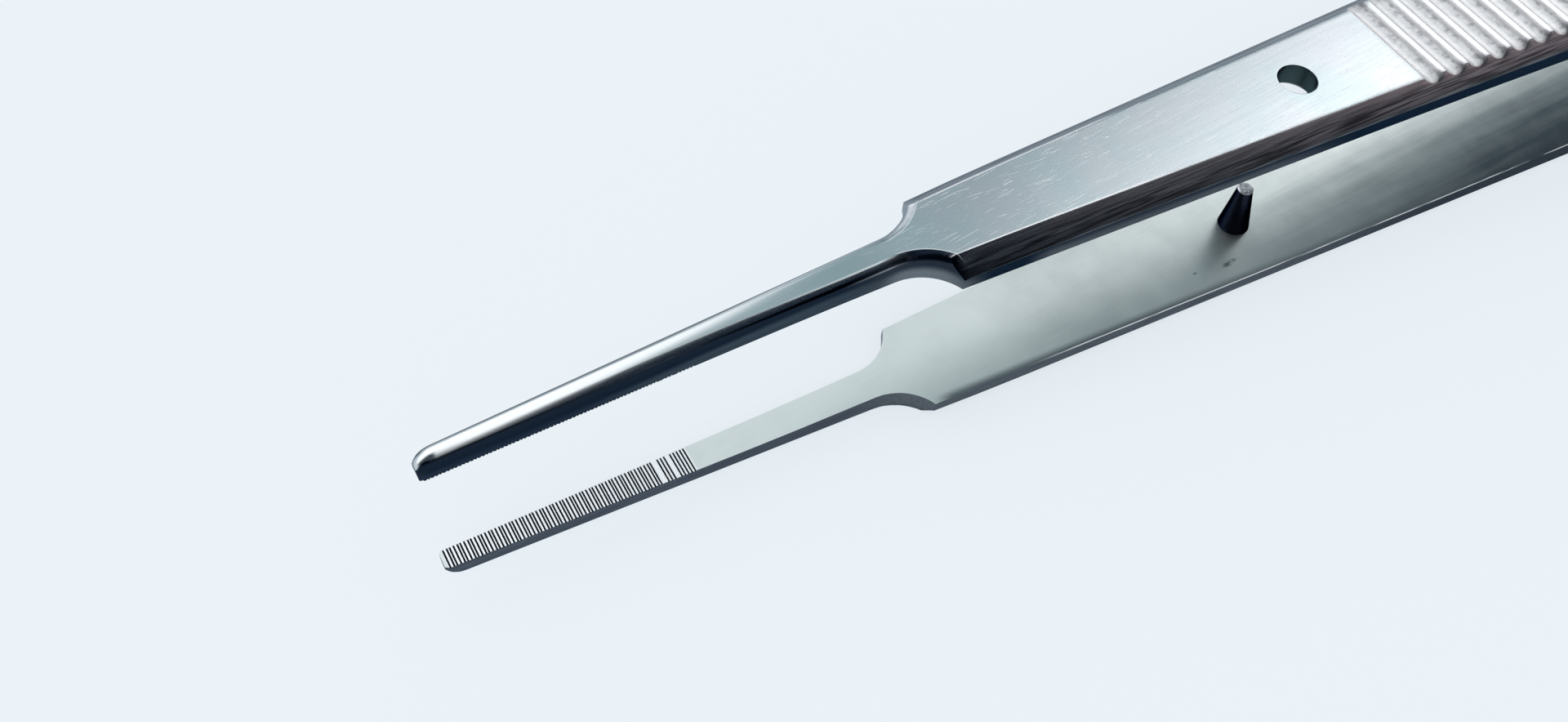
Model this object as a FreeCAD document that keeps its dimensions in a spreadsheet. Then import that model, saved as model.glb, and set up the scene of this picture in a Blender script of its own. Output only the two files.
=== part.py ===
import FreeCAD, Part
import math
import os
import re
import Sketcher

# Shouldered thumb forceps, lying on the outer face of the lower arm.
# X runs from the tips to the heel, Z is the closing direction, origin at the
# middle of the footprint. Each arm is drawn with its tip at X 0 and the plane
# where the two arms would meet at Z 0.

doc = FreeCAD.newDocument("forceps")
sheet = doc.addObject("Spreadsheet::Sheet", "sizes")

rows = [
    ("overallLength", 180.0, "tips to heel"),
    ("tipGap", 5.37, "closing plane to inner face at the upper tip, sprung open"),
    ("lowerTipGap", 5.08, "the same at the lower tip, which is set in a little more"),
    ("bodyGap", 6.4, "closing plane to inner face along the body"),
    ("bodyThick", 2.2, "body plate, inner to outer face"),
    ("tipThick", 1.5, "jaw height at the tip"),
    ("noseFlat", 0.78, "height of the flat on the very end of a jaw"),
    ("noseRun", 1.2, "length of the rounding above it"),
    ("jawBendX", 26.0, "where the jaw turns in from the body"),
    ("jawBendRun", 8.0, "half length of that bend"),
    ("crownX", 37.0, "where the jaw's back meets the outer flat"),
    ("crownRun", 4.5, "half length of that bend"),
    ("bowFrom", 93.0, "heel to where the arms begin to close"),
    ("bowRun", 20.0, "half length of that bend"),
    ("springFrom", 53.0, "heel to the middle of the spring bend, inner face"),
    ("springGap", 4.65, "closing plane to inner face at the spring bend"),
    ("springRun", 12.0, "half length of the spring bend"),
    ("heelBendFrom", 23.0, "heel to where the arms come together"),
    ("heelBendRun", 14.0, "half length of that bend"),
    ("backFrom", 64.25, "heel to the outer bend behind the grip"),
    ("backRun", 9.75, "half length of the outer bend"),
    ("heelBackFrom", 23.5, "heel to the last outer bend"),
    ("heelBackRun", 14.5, "half length of the outer bend at the heel"),
    ("heelThick", 1.5, "plate at the heel"),
    ("tipHalf", 0.7, "half width of the jaw at the tip"),
    ("neckX", 31.0, "start of the concave shoulder"),
    ("neckHalf", 1.22, "half width of the jaw there"),
    ("shoulderX", 34.45, "shoulder corner"),
    ("shoulderHalf", 3.6, "half width at the shoulder corner"),
    ("gripFrom", 68.0, "heel to the widest place"),
    ("gripHalf", 6.8, "half width where the side lines cross"),
    ("gripRun", 12.0, "half length of the side curve"),
    ("heelHalf", 3.2, "half width at the heel"),
    ("heelCorner", 2.3, "rounding of the heel corners"),
    ("bevel", 1.22, "bevel along both sides of the outer flat"),
    ("jawRound", 0.64, "rounding along the back of the jaw"),
    ("toothStart", 0.18, "tip to the first serration"),
    ("toothRun", 14.7, "tip to the end of the long run of serrations"),
    ("toothPitch", 0.2335, "mean pitch of that run"),
    ("toothWidth", 0.13, "width of a serration at the face"),
    ("toothStray", 0.02, "unevenness of the hand cut serrations"),
    ("toothDepth", 0.1, "depth of a serration"),
    ("toothLand", 0.45, "plain face before each of the two last groups"),
    ("landPitch", 0.245, "pitch of the serrations in those groups"),
    ("firstGroup", 3, "serrations in the first of them"),
    ("lastGroup", 5, "serrations in the second"),
    ("fluteStart", 72.6, "middle of the first grip flute"),
    ("fluteMargin", 1.0, "last flute to the end of the outer flat, at least"),
    ("flutePitch", 2.0, "pitch of the grip flutes"),
    ("fluteRadius", 1.06, "radius of a flute"),
    ("fluteDepth", 0.38, "depth of a flute"),
    ("guideX", 63.75, "guide pin and guide hole"),
    ("holeDia", 2.8, "guide hole in the upper arm"),
    ("holeFunnel", 0.55, "flare of that hole at the inner face"),
    ("pinBase", 2.4, "guide pin at its root, and its seat"),
    ("pinTop", 1.15, "guide pin at its end"),
    ("pinHeight", 4.2, "guide pin above the inner face"),
    ("pinLean", 0.38, "how far the pin's end leans towards the tips"),
    ("pinEdge", 0.15, "rounding of the pin's end"),
    ("spare", 4.0, "how far the cutting outlines reach past the blank"),
]
for i, (alias, value, note) in enumerate(rows, start=1):
    sheet.set("A%d" % i, alias)
    sheet.set("B%d" % i, "%g" % value)
    sheet.set("C%d" % i, note)
    sheet.setAlias("B%d" % i, alias)
doc.recompute()
words = re.compile(r"\b(" + "|".join(r[0] for r in rows) + r")\b")


def num(expr):
    return float(sheet.evalExpression(expr))


def bound(expr):
    return words.sub(r"sizes.\1", expr)


def plane(body, role):
    return [f for f in body.Origin.OriginFeatures if f.Role == role][0]


def new_sketch(body, name, role):
    sk = body.newObject("Sketcher::SketchObject", name)
    sk.AttachmentSupport = [(plane(body, role), "")]
    sk.MapMode = "FlatFace"
    return sk


def toward(a, b, run):
    """Expressions of the point that lies run from a in the direction of b."""
    dx, dy = "((%s) - (%s))" % (b[0], a[0]), "((%s) - (%s))" % (b[1], a[1])
    far = "sqrt(%s^2 + %s^2)" % (dx, dy)
    return ["(%s) + (%s) * %s / %s" % (a[k], run, d, far) for k, d in enumerate((dx, dy))]


def outline(sk, corners):
    """Closed outline. A corner is (x, y), or (x, y, run) where run is the tangent length
    of the arc that rounds it, or (x, y, None) where an arc tangent to the run before
    ends at the corner instead of a straight run."""
    n = len(corners)
    ends, cons, held = [], [], []
    for i, c in enumerate(corners):
        prev, nxt = corners[i - 1], corners[(i + 1) % n]
        if len(c) > 2 and c[2]:
            ends.append((toward(c, prev, c[2]), toward(c, nxt, c[2])))
        else:
            ends.append((c[:2], c[:2]))
    spot = [[FreeCAD.Vector(num(e[0]), num(e[1]), 0) for e in pair] for pair in ends]
    last = None
    chain = []
    for i in range(n):
        j = (i + 1) % n
        a, b = spot[i][1], spot[j][0]
        if len(corners[j]) > 2 and corners[j][2] is None:
            before = a - spot[i - 1][1]
            chain.append(("arc", a, b, before.normalize(), None))
        else:
            chain.append(("line", a, b, None, (ends[i][1], ends[j][0])))
        if len(corners[j]) > 2 and corners[j][2]:
            chain.append(("arc", b, spot[j][1], (b - a).normalize(), None))
    ids = []
    for kind, a, b, u, _ in chain:
        if kind == "line":
            ids.append((sk.addGeometry(Part.LineSegment(a, b), False), 1, 2))
            continue
        w = b - a
        perp = FreeCAD.Vector(-u.y, u.x, 0)
        rad = w.Length ** 2 / (2 * w.dot(perp))
        centre = a + perp * rad
        mid = centre + ((a - centre) + (b - centre)).normalize() * abs(rad)
        # an arc of a sketch runs anticlockwise, so one that turns right starts at b
        if rad > 0:
            ids.append((sk.addGeometry(Part.Arc(a, mid, b), False), 1, 2))
        else:
            ids.append((sk.addGeometry(Part.Arc(b, mid, a), False), 2, 1))
    for k, (kind, a, b, u, expr) in enumerate(chain):
        geo, first, second = ids[k]
        if kind == "arc":
            g0, _, p0 = ids[k - 1]
            cons.append(Sketcher.Constraint("Tangent", g0, p0, geo, first))
            held.append(None)
            g1, p1, _ = ids[(k + 1) % len(ids)]
            cons.append(Sketcher.Constraint("Coincident", geo, second, g1, p1))
            held.append(None)
            continue
        before_kind = chain[k - 1][0]
        if before_kind == "line":
            g0, _, p0 = ids[k - 1]
            cons.append(Sketcher.Constraint("Coincident", g0, p0, geo, 1))
            held.append(None)
        pins = [(1, expr[0], a)]
        if chain[(k + 1) % len(chain)][0] == "arc":
            pins.append((2, expr[1], b))
        for pos, pair, at in pins:
            for name, e, value in (("DistanceX", pair[0], at.x), ("DistanceY", pair[1], at.y)):
                cons.append(Sketcher.Constraint(name, -1, 1, geo, pos, value))
                held.append(e)
    first_id = sk.addConstraint(cons)[0]
    for k, e in enumerate(held):
        if e:
            sk.setExpression("Constraints[%d]" % (first_id + k), bound(e))
    sk.recompute()
    if sk.solve() or not sk.Shape.Wires:
        raise RuntimeError("sketch %s does not close" % sk.Name)


def edges_where(shape, test):
    return ["Edge%d" % i for i, e in enumerate(shape.Edges, start=1) if test(e)]


def feature(body, kind, name):
    """A new feature of the body, with the shape and volume that it starts from."""
    start = body.Tip
    made = body.newObject("PartDesign::" + kind, name)
    body.Tip = made
    return made, start


def cut_through(body, name, sketch):
    """Cut across the whole piece, to both sides of the sketch."""
    cut, start = feature(body, "Pocket", name)
    cut.Profile = sketch
    cut.SideType = "Symmetric"
    cut.Type = "ThroughAll"
    doc.recompute()
    if cut.Shape.Volume > start.Shape.Volume - 1e-3:
        raise RuntimeError(name + " cuts nothing")
    return cut


def array(body, name, made, sketch, spacing, count):
    """Repeat a cut along the construction line of its sketch."""
    rep, start = feature(body, "LinearPattern", name)
    rep.Originals = [made]
    rep.Direction = (sketch, ["Axis0"])
    rep.Mode = "Spacing"
    rep.setExpression("Offset", bound(spacing))
    rep.setExpression("Occurrences", bound(count))
    doc.recompute()
    if rep.Shape.Volume > start.Shape.Volume - 1e-3:
        raise RuntimeError(name + " repeats nothing")


def guide_line(sk, a, b):
    """Construction line between two named points."""
    ends = [FreeCAD.Vector(num(p[0]), num(p[1]), 0) for p in (a, b)]
    k = sk.addGeometry(Part.LineSegment(*ends), True)
    pins = [(kind, pos, p[axis], ends[pos - 1][axis])
            for pos, p in ((1, a), (2, b)) for axis, kind in enumerate(("DistanceX", "DistanceY"))]
    cons = [Sketcher.Constraint(kind, -1, 1, k, pos, v) for kind, pos, _, v in pins]
    first = sk.addConstraint(cons)[0]
    for i, (_, _, expr, _) in enumerate(pins):
        sk.setExpression("Constraints[%d]" % (first + i), bound(expr))


def circle(sk, x_expr, y_expr, radius_expr):
    at = FreeCAD.Vector(num(x_expr), num(y_expr), 0)
    k = sk.addGeometry(Part.Circle(at, FreeCAD.Vector(0, 0, 1), num(radius_expr)), False)
    cons = [Sketcher.Constraint("DistanceX", -1, 1, k, 3, at.x),
            Sketcher.Constraint("DistanceY", -1, 1, k, 3, at.y),
            Sketcher.Constraint("Radius", k, num(radius_expr))]
    first = sk.addConstraint(cons)[0]
    for i, expr in enumerate((x_expr, y_expr, radius_expr)):
        sk.setExpression("Constraints[%d]" % (first + i), bound(expr))
    sk.recompute()


def serrations(body, name, gap, first, strays, pitch, count):
    """V cuts across the inner face of the jaw, a group of them repeated along the face."""
    face = "(%%s) * (bodyGap - %s) / jawBendX + %s" % (gap, gap)
    teeth = new_sketch(body, name, "XZ_Plane")
    for k, stray in enumerate(strays):
        at = "%s + %d * %s + %s" % (first, k, pitch, stray)
        lo, hi = "%s - toothWidth" % at, "%s + toothWidth" % at
        outline(teeth, [
            (lo, face % lo + " - toothDepth"),
            (hi, face % hi + " - toothDepth"),
            (at, face % at + " + toothDepth"),
        ])
    guide_line(teeth, ("0", gap), ("jawBendX", "bodyGap"))
    cut = cut_through(body, name + "_cut", teeth)
    array(body, name + "_all", cut, teeth, "%d * %s" % (len(strays), pitch), count)


def make_arm(label, gap, tooth_shift, bore, flare):
    body = doc.addObject("PartDesign::Body", label)
    body.Label = label

    # side profile: inner face, heel, outer face, nose of the jaw
    side = new_sketch(body, label + "_side", "XZ_Plane")
    outline(side, [
        ("0", gap),
        ("jawBendX", "bodyGap", "jawBendRun"),
        ("overallLength - bowFrom", "bodyGap", "bowRun"),
        ("overallLength - springFrom", "springGap", "springRun"),
        ("overallLength - heelBendFrom", "0", "heelBendRun"),
        ("overallLength", "0"),
        ("overallLength", "heelThick"),
        ("overallLength - heelBackFrom", "heelThick", "heelBackRun"),
        ("overallLength - backFrom", "bodyGap + bodyThick", "backRun"),
        ("crownX", "bodyGap + bodyThick", "crownRun"),
        ("noseRun", "%s + tipThick + noseRun * (bodyGap + bodyThick - %s - tipThick) / crownX"
         % (gap, gap)),
        ("0", gap + " + noseFlat", None),
    ])
    blank = body.newObject("PartDesign::Pad", label + "_blank")
    blank.Profile = side
    blank.SideType = "Symmetric"
    blank.setExpression("Length", bound("gripHalf * 2 + spare"))
    body.Tip = blank
    doc.recompute()

    # plan: narrow jaw, concave shoulder, widening body, taper to the heel
    plan = new_sketch(body, label + "_plan", "XY_Plane")
    outline(plan, [
        ("-spare", "tipHalf - spare * (neckHalf - tipHalf) / neckX"),
        ("neckX", "neckHalf"),
        ("shoulderX", "shoulderHalf", None),
        ("overallLength - gripFrom", "gripHalf", "gripRun"),
        ("overallLength", "heelHalf", "heelCorner"),
        ("overallLength", "0"),
        ("overallLength + spare", "0"),
        ("overallLength + spare", "gripHalf + spare"),
        ("-spare", "gripHalf + spare"),
    ])
    waste = cut_through(body, label + "_waste", plan)
    both, _ = feature(body, "Mirrored", label + "_waste_far")
    both.Originals = [waste]
    both.MirrorPlane = (plan, ["H_Axis"])
    doc.recompute()

    # bevels along the back of the body and round the heel
    shape = both.Shape
    solid = shape.Solids[0]

    def on_back(e):
        m = e.valueAt((e.FirstParameter + e.LastParameter) / 2)
        flat = FreeCAD.Vector(0, 0, 0.05)
        inward = FreeCAD.Vector(0, -0.05 if m.y > 0 else 0.05, 0)
        if m.x > num("overallLength") - 0.01:
            inward = FreeCAD.Vector(-0.05, 0, 0)
        tall = e.BoundBox.ZLength > 0.5 * e.Length
        across = abs(m.y) < 0.01 and m.x < num("overallLength") - 0.01
        return (not across and not tall and e.Length > 0.05
                and e.BoundBox.XMin > num("shoulderX") - 0.01
                and solid.isInside(m + inward - flat, 1e-5, False)
                and not solid.isInside(m + inward + flat, 1e-5, False))

    bevel, _ = feature(body, "Chamfer", label + "_bevel")
    bevel.Base = (both, edges_where(shape, on_back))
    bevel.setExpression("Size", bound("bevel"))
    doc.recompute()

    # half round back of the jaw, running out round the concave shoulders
    shape = bevel.Shape
    solid = shape.Solids[0]

    def on_jaw(e):
        m = e.valueAt((e.FirstParameter + e.LastParameter) / 2)
        out = FreeCAD.Vector(-0.03, 0.05 if m.y > 0 else -0.05, 0)
        up = FreeCAD.Vector(0, 0, 0.2)
        return (e.BoundBox.XMax < num("shoulderX") - 0.01 and abs(m.y) > 0.1
                and e.BoundBox.ZMin > num(gap + " + noseFlat") - 0.01
                and solid.isInside(m - out - up, 1e-5, False)
                and not solid.isInside(m - out + up, 1e-5, False)
                and not solid.isInside(m + out, 1e-5, False))

    jaw = edges_where(shape, on_jaw)
    rnd, _ = feature(body, "Fillet", label + "_jaw_back")
    rnd.Base = (bevel, jaw)
    rnd.setExpression("Radius", bound("jawRound"))
    doc.recompute()

    # cross serrations of the jaw: a long uneven run, then two groups with a land before each
    serrations(body, label + "_teeth", gap, "toothStart + " + tooth_shift,
               ("0", "toothStray", "-toothStray"), "toothPitch",
               "floor((toothRun - toothStart) / (3 * toothPitch)) + 1")
    land = "toothRun + toothLand + " + tooth_shift
    serrations(body, label + "_first_group", gap, land, ("0",), "landPitch", "firstGroup")
    last = land + " + toothLand + (firstGroup - 1) * landPitch"
    serrations(body, label + "_last_group", gap, last, ("0",), "landPitch", "lastGroup")

    # transverse flutes of the grip, as far as the outer flat runs
    flat_end = "overallLength - backFrom - backRun"
    flutes = new_sketch(body, label + "_flutes", "XZ_Plane")
    circle(flutes, "fluteStart", "bodyGap + bodyThick + fluteRadius - fluteDepth", "fluteRadius")
    guide_line(flutes, ("fluteStart", "bodyGap"), (flat_end, "bodyGap"))
    cut = cut_through(body, label + "_flute", flutes)
    array(body, label + "_flutes_all", cut, flutes, "flutePitch",
          "floor((%s - fluteMargin - fluteStart) / flutePitch) + 1" % flat_end)

    # guide hole, or the seat of the guide pin
    hole = new_sketch(body, label + "_hole", "XY_Plane")
    circle(hole, "guideX", "0", "(%s) / 2" % bore)
    cut_through(body, label + "_bore", hole)
    if flare:
        cone = new_sketch(body, label + "_cone", "XZ_Plane")
        outline(cone, [
            ("guideX", "bodyGap - " + flare),
            ("guideX + (%s) / 2 + 2 * %s" % (bore, flare), "bodyGap - " + flare),
            ("guideX", "bodyGap + (%s) / 2 + %s" % (bore, flare)),
        ])
        guide_line(cone, ("guideX", "0"), ("guideX", "bodyGap"))
        funnel, bored = feature(body, "Groove", label + "_funnel")
        funnel.Profile = cone
        funnel.ReferenceAxis = (cone, ["Axis0"])
        doc.recompute()
        if funnel.Shape.Volume > bored.Shape.Volume - 1e-3:
            raise RuntimeError(label + "_funnel cuts nothing")

    body.setExpression("Placement.Base.x", bound("-overallLength / 2"))
    body.setExpression("Placement.Base.z", bound("bodyGap + bodyThick"))
    return body


# the guide hole flares at the inner face, so that the pin finds it
upper = make_arm("upper_arm", "tipGap", "0", "holeDia", "holeFunnel")

# the lower arm is the same forging turned over, its serrations half a pitch on
lower = make_arm("lower_arm", "lowerTipGap", "toothPitch / 2", "pinBase", "")
lower.Placement.Rotation = FreeCAD.Rotation(FreeCAD.Vector(1, 0, 0), 180)

# guide pin: shank through the lower arm, flush outside, leaning taper above the inner face
pin = doc.addObject("PartDesign::Body", "guide_pin")
pin.Label = "guide_pin"
rings = []
for name, height, lean, radius in (("foot", "0", "0", "pinBase / 2"), ("root", "bodyThick", "0", "pinBase / 2"),
                                   ("end", "bodyThick + pinHeight", "-pinLean", "pinTop / 2")):
    ring = new_sketch(pin, "guide_pin_" + name, "XY_Plane")
    ring.setExpression("AttachmentOffset.Base.z", bound(height))
    circle(ring, lean, "0", radius)
    rings.append(ring)
shank = pin.newObject("PartDesign::Pad", "guide_pin_shank")
shank.Profile = rings[0]
shank.setExpression("Length", bound("bodyThick"))
pin.Tip = shank
doc.recompute()
taper, _ = feature(pin, "AdditiveLoft", "guide_pin_taper")
taper.Profile = rings[1]
taper.Sections = [rings[2]]
doc.recompute()
top = num("bodyThick + pinHeight") - 0.01
rounded, _ = feature(pin, "Fillet", "guide_pin_edge")
rounded.Base = (taper, edges_where(taper.Shape, lambda e: e.BoundBox.ZMin > top))
rounded.setExpression("Radius", bound("pinEdge"))
pin.setExpression("Placement.Base.x", bound("guideX - overallLength / 2"))
doc.recompute()

for obj in doc.Objects:
    bad = [word for word in ("Invalid", "Error") if word in obj.State]
    if bad:
        raise RuntimeError("%s is %s" % (obj.Name, bad[0]))
os.makedirs("parts", exist_ok=True)
for body in (upper, lower, pin):
    if body.Shape.isNull() or not body.Shape.isValid() or len(body.Shape.Solids) != 1:
        raise RuntimeError(body.Label + " isn't one valid solid")
    body.Shape.exportStep("parts/%s.step" % body.Label)
    box = body.Shape.optimalBoundingBox()
    print(body.Label, round(body.Shape.Volume, 2), "mm3",
          [round(v, 3) for v in (box.XMin, box.YMin, box.ZMin, box.XMax, box.YMax, box.ZMax)])
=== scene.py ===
import math

import bpy
from mathutils import Matrix, Vector

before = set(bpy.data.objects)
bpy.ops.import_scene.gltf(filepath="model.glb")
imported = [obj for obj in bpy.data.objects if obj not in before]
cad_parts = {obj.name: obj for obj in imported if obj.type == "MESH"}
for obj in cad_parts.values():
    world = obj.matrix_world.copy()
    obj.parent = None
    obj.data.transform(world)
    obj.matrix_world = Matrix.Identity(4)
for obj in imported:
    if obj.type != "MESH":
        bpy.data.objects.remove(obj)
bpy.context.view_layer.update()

toMillimetres = (1000.0, 1000.0, 1000.0)
print("frame loaded:", ", ".join(sorted(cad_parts)))

shot = {
    "place": (-95.787, -46.362, 86.746),  # mm, from the photo's perspective
    "right": (0.87338376, -0.48482318, 0.04633891),
    "up": (0.37197317, 0.72544128, 0.57911218),
    "back": (-0.31438316, -0.48855034, 0.81392985),
    "lens": 34.0315,
    "sensor": 36.0,
}

studio = {
    "pale": (0.842, 0.903, 0.952, 1),  # what the camera sees of the floor and the backdrop
    "skyLevel": 0.8,  # even light on the floor
    "skyColour": (0.97, 0.99, 1.0, 1),
    "shadowShare": 0.22,  # how much of the floor's own shading the camera sees
    "lampAngle": 35.0,
    "lampStrength": 0.62,
    "lampAim": (0.35, 0.55, -1.0),
    "floorSize": 6.0,
    "boxLevel": 3.35,  # the long soft box that the grips mirror
    "boxAim": (0.724, -0.27, 0.634),
    "boxEdge": (0.658, 0.880),  # cosines of its soft border
    "boxReach": 0.45,
    "bandLevel": 1.5,  # the upright panel that the jaws mirror
    "bandFoot": 0.035,
    "bandSpread": 0.21,
    "bandSoft": 0.045,
    "forward": (0.285, 0.41, 0.45, 1),
    "forwardFar": (0.20, 0.275, 0.305, 1),
    "night": (0.008, 0.018, 0.034, 1),
    "nightBody": (0.115, 0.117, 0.132, 1),
    "nightWarm": (0.42, 0.33, 0.34, 1),
    "rear": (0.060, 0.072, 0.090, 1),
    "side": (0.42, 0.45, 0.47, 1),
    "horizon": (0.80, 0.85, 0.90, 1),
}

armLook = {
    "midHeight": 8.6,  # mm, the plane between the arms
    "flatColour": (0.565, 0.66, 0.69, 1),
    "lilac": (0.62, 0.66, 0.70, 1),
    "streakDark": 0.91,
    "bevelColour": (0.39, 0.43, 0.46, 1),
    "bevelTop": (0.55, 0.56, 0.58, 1),
    "bevelDark": (0.07, 0.08, 0.09, 1),
    "upperWall": (0.105, 0.118, 0.132, 1),
    "jawWall": (0.025, 0.037, 0.058, 1),
    "jawWallLight": (0.056, 0.077, 0.098, 1),
    "hollowWall": (0.17, 0.195, 0.215, 1),
    "farHollow": (0.44, 0.48, 0.50, 1),
    "lowerWall": (0.17, 0.185, 0.205, 1),
    "lowJawWall": (0.115, 0.132, 0.158, 1),
    "jawShade": (0.012, 0.02, 0.035, 1),
    "holeWall": (0.045, 0.070, 0.076, 1),
    "innerColour": (0.715, 0.775, 0.765, 1),
    "innerShade": (0.17, 0.205, 0.23, 1),
    "grooveShade": (0.035, 0.05, 0.06, 1),
    "valley": (0.80, 0.81, 0.82, 1),
    "valleyDark": (0.20, 0.205, 0.215, 1),
    "jawColour": (0.67, 0.71, 0.72, 1),
    "burnishAndHighlight": (0.93, 0.95, 0.97, 1),  # scratches, which scatter the light, and painted highlights on edges, flute crests and tooth lands
    # colour of the stains, also used for the painted shade along the inner face's near edge
    "stainAndShade": (0.10, 0.13, 0.15, 1),
    "grazing": (0.45, 0.48, 0.52, 1),
    "jawEnd": 31.0,
    "shoulder": (34.45, 3.6),
    "widening": 0.04126,
    "bevel": 1.22,
    "tipGap": 5.37,
    "bodyGap": 6.4,
    "jawRun": 26.0,
    "toothEnd": 17.35,
    "gripStart": 71.75,
    "gripEnd": 105.5,
    "flute": (72.6, 2.0),  # first one's middle, pitch
    "hole": (63.75, 1.75),  # place and reach
    "halfLength": 90.0,
    # runs along the arm, from the tips, where a tone starts and where it is full
    "shadeRun": (42.0, 96.0),
    "softRun": (45.0, 80.0),
    "midRun": (44.0, 69.0, 4.0),
    "midShade": 0.24,
    "rimStart": (34.2, 36.0),
    "rimFade": (78.0, 50.0, 0.25, 0.85),
    "jawLighter": (9.0, 17.0),
    "jawClimb": (8.0, 26.0, 0.0, 0.45),
    "neckRun": (35.5, 40.0, 1.2),
    "gripDark": (58.0, 66.0),
    "lowDark": (62.0, 82.0),
    "scratchRun": (33.0, 37.0),
    "lipRun": (41.0, 47.0),
    "creaseRun": (34.5, 50.0, 2.0),
    "reliefRun": (33.0, 50.0, 0.15, 0.9),
    # the hollow shoulders: middle of their arc, then reaches from it
    "hollowMiddle": (30.937, 5.002, 0.0),
    "hollowEdge": (4.45, 4.36),
    "curveReach": (4.415, 4.46, 0.015),
    "hollowRun": (30.5, 34.5, 1.0),
    "hollowStart": (29.0, 32.2),
    "hollowEnd": (35.0, 34.2),
    "curveRun": (31.3, 34.6, 0.3),
    # lines by turn, width, length and the last by height too; marks by turn, width, length and rarity
    "fineLines": (-0.10, 0.06, 6.0),
    "softLines": (-0.03, 1.3, 22.0),
    "broadLines": (0.0, 0.16, 8.0, 0.16),
    "longMarks": (-0.11, 0.05, 2.0, 0.755),
    "shortMarks": (0.10, 0.045, 1.2, 0.78),
    "markDepth": 2.5,  # micrometres
    "mottleDepth": 7.0,
    "reliefUnit": 0.000001,
    # strength of the scratches and painted edge highlights, then of the painted crest highlights
    "wearAndEdgeHighlight": 0.85,
    "crestHighlight": 0.6,
    "wearAndHighlightMatt": 0.75,  # how far scratches and painted highlights lose the mirror
    "roughFlat": 0.27,
    "roughBevel": 0.22,
    "roughJaw": 0.16,
    "roughWall": 0.34,
    "roughInner": 0.42,
    "roughValley": 0.45,
    # rounding of edges in the shading: run in mm, then radii in m
    "bodyRound": (36.0, 48.0, 0.00008, 0.00036),
    "gripRound": (48.0, 78.0, 0.0, 0.00034),
    "noseRound": (4.0, 2.0, 0.0, 0.0005),
    "smears": [((-29.05, -2.97, 2.2), 1.9, 0.6),  # place, length, width
               ((-32.03, -2.6, 2.2), 0.5, 0.2),
               ((-39.15, 1.88, 2.2), 0.22, 0.16)],
    "smearTurn": -0.15,
    "crown": 1.6,  # radius of the jaw's slightly domed back
    "crownRun": (29.0, 14.0),
}

pinLook = {
    "colour": (0.018, 0.022, 0.035, 1),
    "filed": (0.62, 0.63, 0.66, 1),
    "grazing": (0.15, 0.16, 0.2, 1),
    "endHeight": 6.45,  # mm
    "roughSide": 0.2,
    "roughEnd": 0.4,
    "grainDepth": 0.000004,  # m
}


def addNode(tree, kind, inputs=None, **settings):
    made = tree.nodes.new(kind)
    for key, value in settings.items():
        setattr(made, key, value)
    for key, value in (inputs or {}).items():
        socket = made.inputs[key]
        if isinstance(value, bpy.types.NodeSocket):
            tree.links.new(value, socket)
        else:
            socket.default_value = value
    return made


def calc(tree, operation, first, second=0.0, clamp=False):
    return addNode(tree, "ShaderNodeMath", {0: first, 1: second},
                   operation=operation, use_clamp=clamp).outputs[0]


def vectorCalc(tree, operation, first, second, output="Vector"):
    made = addNode(tree, "ShaderNodeVectorMath", {0: first, 1: second}, operation=operation)
    return made.outputs[output]


def product(tree, *values):
    made = values[0]
    for value in values[1:]:
        made = calc(tree, "MULTIPLY", made, value)
    return made


def ramp(tree, value, low, high, toLow=0.0, toHigh=1.0):
    made = addNode(tree, "ShaderNodeMapRange",
                   {"Value": value, "From Min": low, "From Max": high, "To Min": toLow, "To Max": toHigh},
                   interpolation_type="SMOOTHSTEP")
    return made.outputs["Result"]


def smear(tree, point, place, length, width, turn):
    # a soft short stroke at a place on the arm, in mm
    moved = vectorCalc(tree, "SUBTRACT", point, place)
    turned = addNode(tree, "ShaderNodeVectorRotate", {"Vector": moved, "Angle": turn}, rotation_type="Z_AXIS")
    drawn = vectorCalc(tree, "MULTIPLY", turned.outputs[0], (2.0 / length, 2.0 / width, 0.0))
    reach = addNode(tree, "ShaderNodeVectorMath", {0: drawn}, operation="LENGTH").outputs["Value"]
    return ramp(tree, reach, 1.0, 0.35)


def band(tree, value, low, high, soft):
    rise = ramp(tree, value, low - soft, low + soft)
    fall = ramp(tree, value, high - soft, high + soft, 1.0, 0.0)
    return calc(tree, "MULTIPLY", rise, fall)


def blend(tree, share, first, second, mode="MIX"):
    made = addNode(tree, "ShaderNodeMix", {"Factor": share, 6: first, 7: second},
                   data_type="RGBA", blend_type=mode)
    return made.outputs[2]


def between(tree, share, first, second):
    made = addNode(tree, "ShaderNodeMix", {"Factor": share, 2: first, 3: second}, data_type="FLOAT")
    return made.outputs[0]


def noise(tree, vector, scale, detail=2.0, rough=0.5):
    return addNode(tree, "ShaderNodeTexNoise",
                   {"Vector": vector, "Scale": scale, "Detail": detail, "Roughness": rough}).outputs["Fac"]


def newGroup(name, inputs, outputs):
    group = bpy.data.node_groups.new(name, "ShaderNodeTree")
    for label, kind, value in inputs:
        socket = group.interface.new_socket(label, in_out="INPUT", socket_type=kind)
        if value is not None:
            socket.default_value = value
    for label, kind in outputs:
        group.interface.new_socket(label, in_out="OUTPUT", socket_type=kind)
    return group, group.nodes.new("NodeGroupInput"), group.nodes.new("NodeGroupOutput")


def useGroup(tree, group, inputs=None):
    made = addNode(tree, "ShaderNodeGroup", node_tree=group)
    for key, value in (inputs or {}).items():
        if isinstance(value, bpy.types.NodeSocket):
            tree.links.new(value, made.inputs[key])
        else:
            made.inputs[key].default_value = value
    return made


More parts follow.
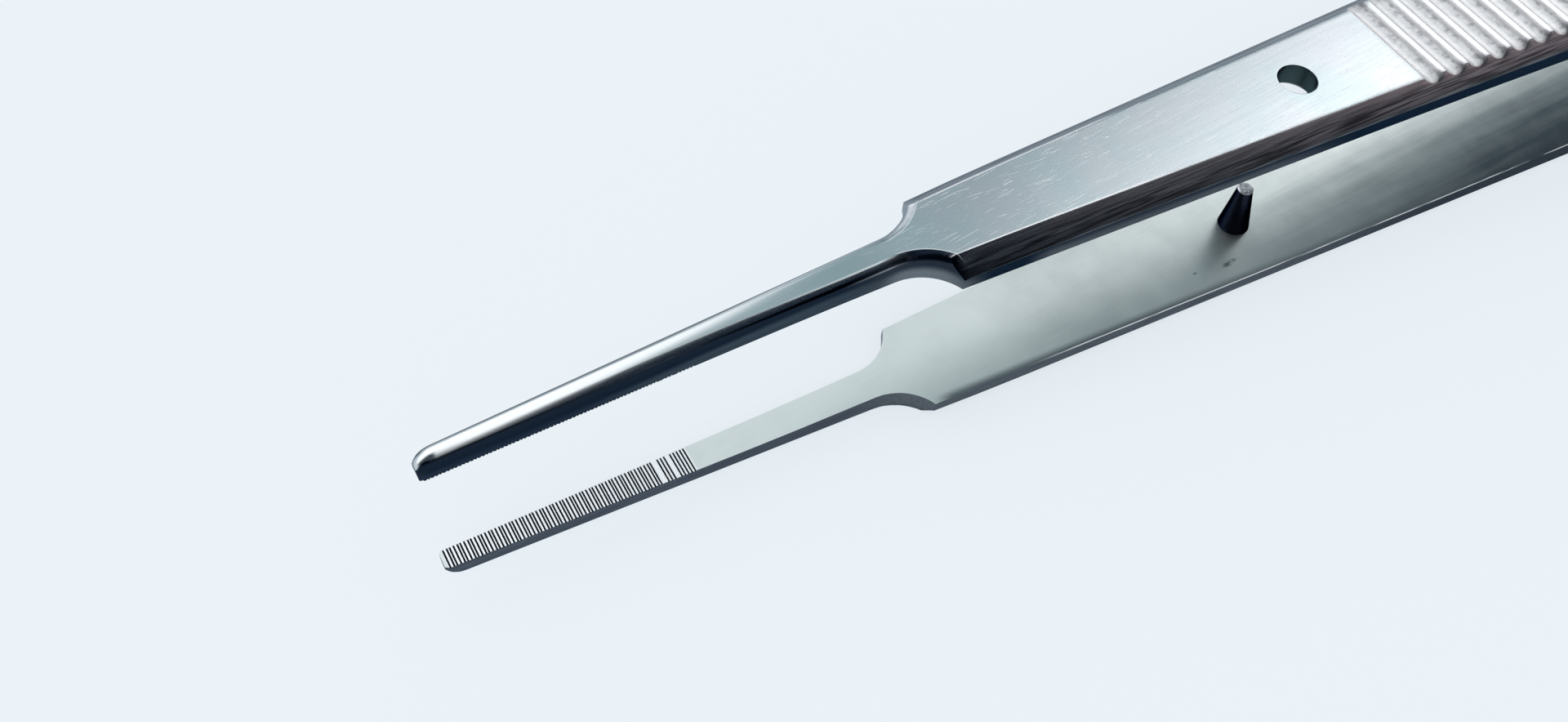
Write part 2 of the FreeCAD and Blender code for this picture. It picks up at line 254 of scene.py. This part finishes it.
def makeStreaks():
    # long fine lines from a belt, a little off the length
    group, given, out = newGroup(
        "beltStreaks",
        [("Vector", "NodeSocketVector", None), ("Angle", "NodeSocketFloat", 0.0),
         ("Width", "NodeSocketFloat", 0.1), ("Length", "NodeSocketFloat", 8.0),
         ("Tall", "NodeSocketFloat", 0.1)],
        [("Lines", "NodeSocketFloat")])
    turned = addNode(group, "ShaderNodeVectorRotate",
                     {"Vector": given.outputs["Vector"], "Angle": given.outputs["Angle"]},
                     rotation_type="Z_AXIS").outputs[0]
    size = addNode(group, "ShaderNodeCombineXYZ",
                   {"X": given.outputs["Length"], "Y": given.outputs["Width"], "Z": given.outputs["Tall"]})
    drawn = vectorCalc(group, "DIVIDE", turned, size.outputs[0])
    group.links.new(noise(group, drawn, 1.0, 2.0, 0.6), out.inputs["Lines"])
    return group


def makeScratches():
    # few and thin, each with an end
    group, given, out = newGroup(
        "thinScratches",
        [("Vector", "NodeSocketVector", None), ("Angle", "NodeSocketFloat", 0.0),
         ("Width", "NodeSocketFloat", 0.06), ("Length", "NodeSocketFloat", 2.5),
         ("Sparse", "NodeSocketFloat", 0.68)],
        [("Mask", "NodeSocketFloat")])
    turned = addNode(group, "ShaderNodeVectorRotate",
                     {"Vector": given.outputs["Vector"], "Angle": given.outputs["Angle"]},
                     rotation_type="Z_AXIS").outputs[0]
    size = addNode(group, "ShaderNodeCombineXYZ",
                   {"X": given.outputs["Length"], "Y": given.outputs["Width"], "Z": 50.0})
    drawn = noise(group, vectorCalc(group, "DIVIDE", turned, size.outputs[0]), 1.0, 0.0, 0.5)
    top = calc(group, "ADD", given.outputs["Sparse"], 0.06)
    group.links.new(ramp(group, drawn, given.outputs["Sparse"], top), out.inputs["Mask"])
    return group


def makeSmudges():
    group, given, out = newGroup(
        "softSmudges",
        [("Vector", "NodeSocketVector", None), ("Size", "NodeSocketFloat", 6.0)],
        [("Shade", "NodeSocketFloat")])
    size = addNode(group, "ShaderNodeCombineXYZ",
                   {"X": given.outputs["Size"], "Y": given.outputs["Size"], "Z": given.outputs["Size"]})
    scaled = vectorCalc(group, "DIVIDE", given.outputs["Vector"], size.outputs[0])
    drawn = noise(group, scaled, 1.0, 3.0, 0.55)
    group.links.new(ramp(group, drawn, 0.35, 0.65), out.inputs["Shade"])
    return group


def makePlaces(look):
    # where a point is on its arm, in mm along, across, from the side edge and out from the middle plane
    names = ("Along", "Across", "Edge", "Depth", "Facing", "Lean", "Sway", "Upper",
             "Flat", "Bevel", "Wall", "Inner", "Jaw", "Grip", "Groove")
    group, given, out = newGroup("armPlaces", [], [("Point", "NodeSocketVector")]
                                 + [(name, "NodeSocketFloat") for name in names])
    where = addNode(group, "ShaderNodeTexCoord").outputs["Object"]
    point = vectorCalc(group, "MULTIPLY", where, toMillimetres)
    parts = addNode(group, "ShaderNodeSeparateXYZ", {0: point})
    normal = addNode(group, "ShaderNodeSeparateXYZ",
                     {0: addNode(group, "ShaderNodeNewGeometry").outputs["Normal"]})
    height = calc(group, "SUBTRACT", parts.outputs["Z"], look["midHeight"])
    away = calc(group, "ABSOLUTE", height)
    facing = calc(group, "MULTIPLY", normal.outputs["Z"], calc(group, "SIGN", height))
    along = calc(group, "ADD", parts.outputs["X"], look["halfLength"])
    across = calc(group, "ABSOLUTE", parts.outputs["Y"])
    half = calc(group, "ADD", calc(group, "MULTIPLY", calc(group, "SUBTRACT", along, look["shoulder"][0]),
                                   look["widening"]), look["shoulder"][1])
    flatMask = ramp(group, facing, 0.80, 0.88)
    inner = ramp(group, facing, -0.45, -0.75)
    wall = calc(group, "MULTIPLY", ramp(group, facing, 0.5, 0.3), ramp(group, facing, -0.75, -0.45))
    bevel = calc(group, "SUBTRACT", 1.0, calc(group, "ADD", flatMask, calc(group, "ADD", inner, wall)), True)
    slope = (look["bodyGap"] - look["tipGap"]) / look["jawRun"]
    opening = calc(group, "ADD", calc(group, "MULTIPLY", along, slope), look["tipGap"])
    face = calc(group, "MINIMUM", opening, look["bodyGap"])
    depth = calc(group, "SUBTRACT", away, face)
    groove = product(group, ramp(group, calc(group, "ABSOLUTE", normal.outputs["X"]), 0.15, 0.4),
                     band(group, along, -0.1, look["toothEnd"], 0.05),
                     ramp(group, depth, 0.2, 0.13), ramp(group, facing, 0.1, -0.1))
    found = {
        "Along": along, "Across": parts.outputs["Y"], "Edge": calc(group, "SUBTRACT", half, across),
        "Depth": depth, "Facing": facing, "Lean": normal.outputs["X"], "Sway": normal.outputs["Y"],
        "Upper": ramp(group, height, -0.5, 0.5),
        "Flat": flatMask, "Bevel": bevel, "Wall": wall, "Inner": inner,
        "Jaw": ramp(group, along, look["jawEnd"] + 2, look["jawEnd"] - 4),
        "Grip": band(group, along, look["gripStart"], look["gripEnd"], 0.1), "Groove": groove,
    }
    group.links.new(point, out.inputs["Point"])
    for name, value in found.items():
        group.links.new(value, out.inputs[name])
    return group


def makeArmSteel(look, groups):
    material = bpy.data.materials.new("armSteel")
    material.use_nodes = True
    tree = material.node_tree
    shader = tree.nodes["Principled BSDF"]
    place = useGroup(tree, groups["places"])
    at = {socket.name: socket for socket in place.outputs}
    point = at["Point"]

    def streaks(angle, width, length, tall=50.0):
        return useGroup(tree, groups["streaks"], {"Vector": point, "Angle": angle, "Width": width,
                                                  "Length": length, "Tall": tall}).outputs[0]

    def scratches(angle, width, length, sparse):
        return useGroup(tree, groups["scratches"], {"Vector": point, "Angle": angle, "Width": width,
                                                    "Length": length, "Sparse": sparse}).outputs[0]

    fine = streaks(*look["fineLines"])
    broad = streaks(*look["broadLines"])
    soft = streaks(*look["softLines"])
    marks = calc(tree, "MAXIMUM", scratches(*look["longMarks"]), scratches(*look["shortMarks"]))
    smudge = useGroup(tree, groups["smudges"], {"Vector": point, "Size": 6.0}).outputs[0]
    mottle = useGroup(tree, groups["smudges"], {"Vector": point, "Size": 0.5}).outputs[0]
    body = calc(tree, "SUBTRACT", 1.0, at["Jaw"])
    sway = calc(tree, "ABSOLUTE", at["Sway"])
    grip = product(tree, at["Grip"], ramp(tree, at["Facing"], 0.25, 0.4), ramp(tree, sway, 0.35, 0.2))

    # outer flats and the jaws' backs
    outer = blend(tree, smudge, look["flatColour"], look["lilac"])
    outer = blend(tree, ramp(tree, fine, 0.30, 0.70), outer, (look["streakDark"],) * 3 + (1,), "MULTIPLY")
    outer = blend(tree, at["Jaw"], outer, look["jawColour"])

    # bevels, streaked dark, with a painted highlight towards the top edge and painted shade at the bottom
    # edge
    bevel = blend(tree, ramp(tree, broad, 0.36, 0.66), look["bevelDark"], look["bevelColour"])
    bevel = blend(tree, product(tree, ramp(tree, at["Edge"], 0.5, 1.1), 0.55), bevel, look["bevelTop"])
    bevel = blend(tree, ramp(tree, at["Edge"], 0.5, 0.05, 0.0, 0.6), bevel, look["bevelDark"])
    bevel = blend(tree, at["Jaw"], bevel, look["jawColour"])

    # inner faces, with painted shade towards the grip, the near side and the middle, varied by streaks and
    # clouds
    shade = product(tree, ramp(tree, at["Along"], *look["shadeRun"]),
                    ramp(tree, at["Across"], 6.0, -6.0, 0.2, 1.0))
    shade = calc(tree, "ADD", shade, product(tree, calc(tree, "SUBTRACT", soft, 0.5),
                                             ramp(tree, at["Along"], *look["softRun"]), 0.7), True)
    middle = product(tree, band(tree, at["Along"], *look["midRun"]), look["midShade"])
    shade = calc(tree, "MAXIMUM", shade, middle)
    cloud = useGroup(tree, groups["smudges"], {"Vector": point, "Size": 2.6}).outputs[0]
    shade = calc(tree, "ADD", shade, product(tree, calc(tree, "SUBTRACT", cloud, 0.5), 0.08))
    shade = calc(tree, "ADD", shade, product(tree, calc(tree, "SUBTRACT", fine, 0.5), 0.18), True)
    inner = blend(tree, shade, look["innerColour"], look["innerShade"])
    # painted highlight on the tooth lands
    lands = product(tree, at["Inner"], band(tree, at["Along"], 0.2, look["toothEnd"], 0.02))
    inner = blend(tree, lands, inner, look["burnishAndHighlight"])
    # painted shade along the near side edge of the inner face, past the shoulder
    rim = product(tree, at["Inner"], ramp(tree, at["Across"], -1.0, -2.0), ramp(tree, at["Edge"], 0.75, 0.05),
                  ramp(tree, at["Along"], *look["rimStart"]), ramp(tree, at["Along"], *look["rimFade"]))
    inner = blend(tree, rim, inner, look["stainAndShade"])

    # side walls, with painted shade and painted light; the jaws' walls are darker towards the back
    # painted shade: the upper arm's walls darker than the lower arm's
    wall = blend(tree, at["Upper"], look["lowerWall"], look["upperWall"])
    # painted shade: the upper jaw's walls darker towards the tip, the lower jaw's lighter
    jawWall = blend(tree, ramp(tree, at["Along"], *look["jawLighter"]), look["jawWall"], look["jawWallLight"])
    wall = blend(tree, product(tree, at["Jaw"], at["Upper"]), wall, jawWall)
    wall = blend(tree, product(tree, at["Jaw"], calc(tree, "SUBTRACT", 1.0, at["Upper"])), wall,
                 look["lowJawWall"])
    # painted shade on the upper arm's walls, deeper towards the outer face
    wall = blend(tree, product(tree, body, at["Upper"], ramp(tree, at["Depth"], 0.25, 1.0), 0.85), wall,
                 look["jawShade"])
    wall = blend(tree, ramp(tree, broad, 0.40, 0.65, 0.0, 0.25), wall, look["jawShade"])
    # painted shade on the upper arm's walls past the shoulder and towards the grip
    neck = product(tree, band(tree, at["Along"], *look["neckRun"]), at["Upper"])
    wall = blend(tree, neck, wall, look["jawShade"])
    gripEnd = product(tree, at["Upper"], ramp(tree, at["Along"], *look["gripDark"]))
    wall = blend(tree, gripEnd, wall, look["jawShade"])
    # painted light on the upper arm's walls in the hollow shoulders, near the inner face
    wall = blend(tree, product(tree, band(tree, at["Along"], *look["hollowRun"]), at["Upper"],
                               ramp(tree, at["Depth"], 1.3, 0.5)), wall, look["hollowWall"])
    # painted shade on the lower arm's walls towards the grip
    lower = calc(tree, "SUBTRACT", 1.0, at["Upper"])
    lowEnd = product(tree, lower, ramp(tree, at["Along"], *look["lowDark"]))
    wall = blend(tree, lowEnd, wall, look["bevelDark"])
    # painted shade on the upper jaw's walls towards its back, starting higher towards the neck
    climb = calc(tree, "SUBTRACT", at["Depth"], ramp(tree, at["Along"], *look["jawClimb"]))
    back = product(tree, at["Jaw"], at["Upper"], ramp(tree, climb, 0.25, 0.8))
    wall = blend(tree, back, wall, look["jawShade"])
    # painted reflection: lighter walls that face the tips on the far side
    farHollow = product(tree, ramp(tree, at["Lean"], -0.3, -0.7), ramp(tree, at["Across"], 0.8, 1.6))
    wall = blend(tree, farHollow, wall, look["farHollow"])
    # painted shade on the wall of the hole
    level = vectorCalc(tree, "MULTIPLY", point, (1.0, 1.0, 0.0))
    holeAt = (look["hole"][0] - look["halfLength"], 0.0, 0.0)
    inHole = vectorCalc(tree, "DISTANCE", level, holeAt, "Value")
    wall = blend(tree, ramp(tree, inHole, look["hole"][1] + 0.3, look["hole"][1]), wall, look["holeWall"])

    # rounded edges of the jaw and the hollow shoulders: painted shade on the jaw's rounded sides and the near
    # side of the hollows, and the lighter bevel colour as a painted reflection on their far side
    folded = addNode(tree, "ShaderNodeCombineXYZ",
                     {"X": at["Along"], "Y": calc(tree, "ABSOLUTE", at["Across"])}).outputs[0]
    bow = vectorCalc(tree, "DISTANCE", folded, look["hollowMiddle"], "Value")
    hollow = product(tree, at["Upper"], ramp(tree, at["Along"], *look["hollowStart"]),
                     ramp(tree, at["Along"], *look["hollowEnd"]), ramp(tree, bow, *look["hollowEdge"]),
                     ramp(tree, at["Facing"], 0.0, 0.2))
    nearSide = ramp(tree, at["Across"], 0.0, -0.5)
    under = product(tree, at["Jaw"], at["Upper"], ramp(tree, at["Facing"], 0.86, 0.73),
                    ramp(tree, sway, 0.3, 0.5))
    under = calc(tree, "MAXIMUM", under, product(tree, hollow, nearSide))
    colour = blend(tree, at["Flat"], bevel, outer)
    farSide = calc(tree, "SUBTRACT", 1.0, nearSide)
    colour = blend(tree, product(tree, hollow, farSide), colour, look["bevelColour"])
    colour = blend(tree, under, colour, look["jawShade"])
    colour = blend(tree, at["Wall"], colour, wall)
    colour = blend(tree, at["Inner"], colour, inner)
    # painted shade in the tooth grooves, darker on the flank that faces +X
    colour = blend(tree, product(tree, at["Groove"], ramp(tree, at["Lean"], -0.3, 0.3, 0.2, 1.0)), colour,
                   look["grooveShade"])

    # flutes: mottled valleys, with painted shade where they rise to the next crest and towards the bevel, and
    # a few dark flecks
    turn = calc(tree, "DIVIDE", calc(tree, "SUBTRACT", at["Along"], look["flute"][0]), look["flute"][1])
    side = calc(tree, "SUBTRACT", calc(tree, "FRACT", calc(tree, "ADD", turn, 0.5)), 0.5)  # -0.5 to 0.5
    valley = product(tree, grip, ramp(tree, calc(tree, "ABSOLUTE", side), 0.42, 0.37))
    ragged = calc(tree, "ADD", side, product(tree, calc(tree, "SUBTRACT", mottle, 0.5), 0.06))
    rising = calc(tree, "ADD", product(tree, band(tree, ragged, 0.22, 0.40, 0.10), 0.7),
                  product(tree, ramp(tree, mottle, 0.60, 0.90), band(tree, side, 0.05, 0.40, 0.1), 0.15))
    rising = calc(tree, "ADD", rising, ramp(tree, at["Edge"], 2.0, 1.25, 0.0, 0.3), True)
    colour = blend(tree, valley, colour, blend(tree, rising, look["valley"], look["valleyDark"]))

    # smears and a speck
    stained = 0.0
    for spot, length, width in look["smears"]:
        stained = calc(tree, "ADD", stained, smear(tree, point, spot, length, width, look["smearTurn"]), True)
    stained = product(tree, stained, at["Inner"], ramp(tree, mottle, 0.0, 0.45, 0.2, 1.0), 0.8)
    colour = blend(tree, stained, colour, look["stainAndShade"])

    # bright scratches, and painted highlights: lines along the inner face's side edge, the bevel's top edge
    # and the hollow shoulders, and on the flute crests
    wearAndHighlight = product(tree, marks, at["Flat"], body, calc(tree, "SUBTRACT", 1.0, at["Grip"]),
                   ramp(tree, at["Along"], *look["scratchRun"]))
    # painted highlights along the inner face's side edge, the bevel's top edge and the hollow shoulders'
    # curve
    lip = product(tree, at["Inner"], band(tree, at["Edge"], -0.03, 0.09, 0.02),
                  ramp(tree, at["Along"], *look["lipRun"]), ramp(tree, broad, 0.38, 0.50))
    crease = product(tree, at["Flat"], band(tree, at["Edge"], look["bevel"], look["bevel"] + 0.11, 0.02),
                     band(tree, at["Along"], *look["creaseRun"]))
    curve = product(tree, ramp(tree, at["Facing"], 0.5, 0.7), band(tree, bow, *look["curveReach"]),
                    band(tree, at["Along"], *look["curveRun"]))
    for line in (lip, crease, curve):
        wearAndHighlight = calc(tree, "ADD", wearAndHighlight, line, True)
    # painted highlight on the flute crests
    crests = product(tree, grip, calc(tree, "SUBTRACT", 1.0, valley), look["crestHighlight"])
    wearAndHighlight = calc(tree, "ADD", product(tree, wearAndHighlight, look["wearAndEdgeHighlight"]), crests, True)
    colour = blend(tree, wearAndHighlight, colour, look["burnishAndHighlight"])
    tree.links.new(colour, shader.inputs["Base Color"])
    metal = calc(tree, "SUBTRACT", 1.0, product(tree, wearAndHighlight, look["wearAndHighlightMatt"]))
    tree.links.new(metal, shader.inputs["Metallic"])
    shader.inputs["Specular Tint"].default_value = look["grazing"]

    # satin flats, polished jaws and bevels
    rough = between(tree, at["Flat"], look["roughBevel"], look["roughFlat"])
    rough = between(tree, at["Jaw"], rough, look["roughJaw"])
    rough = between(tree, at["Wall"], rough, look["roughWall"])
    rough = between(tree, at["Inner"], rough, look["roughInner"])
    rough = between(tree, valley, rough, look["roughValley"])
    rough = calc(tree, "ADD", rough, product(tree, calc(tree, "SUBTRACT", fine, 0.5), 0.10))
    tree.links.new(rough, shader.inputs["Roughness"])

    # relief, in micrometres: belt lines, scratches, mottled flutes and the jaw's domed back
    height = product(tree, fine, ramp(tree, at["Along"], *look["reliefRun"]),
                     calc(tree, "SUBTRACT", 1.0, product(tree, at["Grip"], 0.85)))
    height = calc(tree, "SUBTRACT", height, product(tree, marks, at["Flat"], body, look["markDepth"]))
    height = calc(tree, "ADD", height, product(tree, mottle, valley, look["mottleDepth"]))
    dome = product(tree, at["Across"], at["Across"], 500.0 / look["crown"],
                   ramp(tree, at["Along"], *look["crownRun"]),
                   ramp(tree, at["Facing"], -0.35, -0.25))
    height = calc(tree, "SUBTRACT", height, dome)
    # edges are rounded in the shading, more towards the grip, less at the hole, and at the nose
    radius = calc(tree, "ADD", ramp(tree, at["Along"], *look["bodyRound"]),
                  ramp(tree, at["Along"], *look["gripRound"]))
    radius = product(tree, radius, ramp(tree, inHole, look["hole"][1], look["hole"][1] + 1.2, 0.15, 1.0))
    radius = calc(tree, "ADD", radius, ramp(tree, at["Along"], *look["noseRound"]))
    worked = calc(tree, "MAXIMUM", ramp(tree, at["Along"], 34.45, 34.8), ramp(tree, at["Along"], 3.0, 2.0))
    onFlutes = product(tree, at["Grip"], ramp(tree, at["Edge"], 1.4, 1.9))
    worked = product(tree, worked, ramp(tree, at["Facing"], 0.1, 0.3), calc(tree, "SUBTRACT", 1.0, onFlutes))
    rounded = addNode(tree, "ShaderNodeMix", {
        0: worked, 4: addNode(tree, "ShaderNodeNewGeometry").outputs["Normal"],
        5: addNode(tree, "ShaderNodeBevel", {"Radius": radius}, samples=8).outputs[0]},
        data_type="VECTOR").outputs[1]
    bump = addNode(tree, "ShaderNodeBump", {"Strength": 1.0, "Distance": look["reliefUnit"],
                                            "Height": height, "Normal": rounded})
    tree.links.new(bump.outputs[0], shader.inputs["Normal"])
    return material


def makePinSteel(look, groups):
    material = bpy.data.materials.new("pinSteel")
    material.use_nodes = True
    tree = material.node_tree
    shader = tree.nodes["Principled BSDF"]
    shader.inputs["Metallic"].default_value = 1.0
    shader.inputs["Specular Tint"].default_value = look["grazing"]
    where = addNode(tree, "ShaderNodeTexCoord").outputs["Object"]
    point = vectorCalc(tree, "MULTIPLY", where, toMillimetres)
    height = addNode(tree, "ShaderNodeSeparateXYZ", {0: point}).outputs["Z"]
    grain = useGroup(tree, groups["smudges"], {"Vector": point, "Size": 0.22}).outputs[0]
    end = product(tree, ramp(tree, height, look["endHeight"] - 0.25, look["endHeight"] - 0.1),
                  ramp(tree, grain, 0.0, 0.7, 0.45, 1.0))
    tree.links.new(blend(tree, end, look["colour"], look["filed"]), shader.inputs["Base Color"])
    tree.links.new(between(tree, end, look["roughSide"], look["roughEnd"]), shader.inputs["Roughness"])
    bump = addNode(tree, "ShaderNodeBump", {"Strength": 1.0, "Distance": look["grainDepth"],
                                            "Height": grain})
    tree.links.new(bump.outputs[0], shader.inputs["Normal"])
    return material


def makeWorld(look):
    world = bpy.data.worlds.new("studio")
    bpy.context.scene.world = world
    world.use_nodes = True
    world.cycles.sampling_method = "NONE"  # so each kind of ray keeps its own light
    tree = world.node_tree
    tree.nodes.clear()
    toward = addNode(tree, "ShaderNodeTexCoord").outputs["Generated"]
    parts = addNode(tree, "ShaderNodeSeparateXYZ", {0: toward})
    x, y, z = (parts.outputs[name] for name in "XYZ")
    dark = blend(tree, ramp(tree, x, 0.36, 0.47), look["night"], look["nightBody"])
    dark = blend(tree, ramp(tree, x, 0.56, 0.72), dark, look["nightWarm"])
    dark = blend(tree, ramp(tree, x, 0.0, -0.3), dark, look["rear"])
    ahead = blend(tree, ramp(tree, x, 0.30, 0.45), look["forward"], look["forwardFar"])
    sky = blend(tree, ramp(tree, y, -0.10, 0.42), dark, ahead)
    sky = blend(tree, product(tree, ramp(tree, x, -0.10, -0.45), ramp(tree, y, 0.0, 0.3)), sky, look["side"])
    aim = Vector(look["boxAim"]).normalized()
    nearness = vectorCalc(tree, "DOT_PRODUCT", toward, tuple(aim), "Value")
    level = look["boxLevel"]
    box = product(tree, ramp(tree, nearness, *look["boxEdge"]), ramp(tree, y, 0.05, 0.30))
    # the box reaches down behind the grip, at less strength
    tall = product(tree, ramp(tree, x, 0.70, 0.84), ramp(tree, y, 0.1, 0.3), look["boxReach"])
    sky = blend(tree, calc(tree, "MAXIMUM", box, tall), sky, (level * 1.03, level, level * 0.99, 1))
    level = look["bandLevel"]
    climb = calc(tree, "DIVIDE", calc(tree, "ADD", y, 0.8), 1.55, True)
    edge = calc(tree, "ADD", product(tree, climb, climb, look["bandSpread"]), look["bandFoot"])
    beside = ramp(tree, calc(tree, "SUBTRACT", x, edge), look["bandSoft"], -look["bandSoft"])
    ending = calc(tree, "MAXIMUM", ramp(tree, x, -0.14, -0.02), ramp(tree, y, -0.05, 0.25))
    upright = product(tree, beside, ramp(tree, y, -1.3, -0.1), ending)
    sky = blend(tree, upright, sky, (level, level, level * 1.02, 1))
    low = blend(tree, ramp(tree, z, 0.14, 0.0), sky, look["horizon"])
    rays = addNode(tree, "ShaderNodeLightPath")
    light = blend(tree, rays.outputs["Is Glossy Ray"],
                  tuple(look["skyLevel"] * part for part in look["skyColour"][:3]) + (1,), low)
    seen = calc(tree, "ADD", rays.outputs["Is Camera Ray"], rays.outputs["Is Transmission Ray"], True)
    light = blend(tree, seen, light, look["pale"])
    background = addNode(tree, "ShaderNodeBackground", {"Color": light, "Strength": 1.0})
    out = addNode(tree, "ShaderNodeOutputWorld")
    tree.links.new(background.outputs[0], out.inputs["Surface"])


def makeFloor(look):
    material = bpy.data.materials.new("paleFloor")
    material.use_nodes = True
    tree = material.node_tree
    tree.nodes.clear()
    rays = addNode(tree, "ShaderNodeLightPath")
    plain = addNode(tree, "ShaderNodeBsdfDiffuse", {"Color": look["pale"]})
    shown = addNode(tree, "ShaderNodeEmission", {"Color": look["pale"], "Strength": 1.0})
    share = calc(tree, "MULTIPLY", rays.outputs["Is Camera Ray"], 1.0 - look["shadowShare"])
    mixed = addNode(tree, "ShaderNodeMixShader", {0: share, 1: plain.outputs[0], 2: shown.outputs[0]})
    out = addNode(tree, "ShaderNodeOutputMaterial")
    tree.links.new(mixed.outputs[0], out.inputs["Surface"])
    bpy.ops.mesh.primitive_plane_add(size=look["floorSize"])
    floor = bpy.context.active_object
    floor.name = "paleFloor"
    floor.data.materials.append(material)


def makeLamp(look):
    lamp = bpy.data.lights.new("softLamp", "SUN")
    lamp.energy = look["lampStrength"]
    lamp.angle = math.radians(look["lampAngle"])
    holder = bpy.data.objects.new("softLamp", lamp)
    bpy.context.scene.collection.objects.link(holder)
    holder.rotation_mode = "QUATERNION"
    holder.rotation_quaternion = Vector(look["lampAim"]).to_track_quat("-Z", "Y")
    holder.visible_glossy = False


def makeCamera(look):
    data = bpy.data.cameras.new("shot")
    data.sensor_width = look["sensor"]
    data.lens = look["lens"]
    data.clip_start, data.clip_end = 0.005, 20.0
    camera = bpy.data.objects.new("shot", data)
    bpy.context.scene.collection.objects.link(camera)
    axes = Matrix((look["right"], look["up"], look["back"])).transposed().to_4x4()
    camera.matrix_world = Matrix.Translation(Vector(look["place"]) / 1000) @ axes
    bpy.context.scene.camera = camera


makeCamera(shot)
makeWorld(studio)
makeFloor(studio)
makeLamp(studio)
print("studio ready")

groups = {"streaks": makeStreaks(), "scratches": makeScratches(), "smudges": makeSmudges(),
          "places": makePlaces(armLook)}
finishes = {"arm_steel": makeArmSteel(armLook, groups), "pin_steel": makePinSteel(pinLook, groups)}
for name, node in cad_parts.items():
    for slot in node.material_slots:
        slot.material = finishes["pin_steel" if name == "guide_pin" else "arm_steel"]
print("finishes set")

bpy.context.scene.view_settings.view_transform = "Standard"
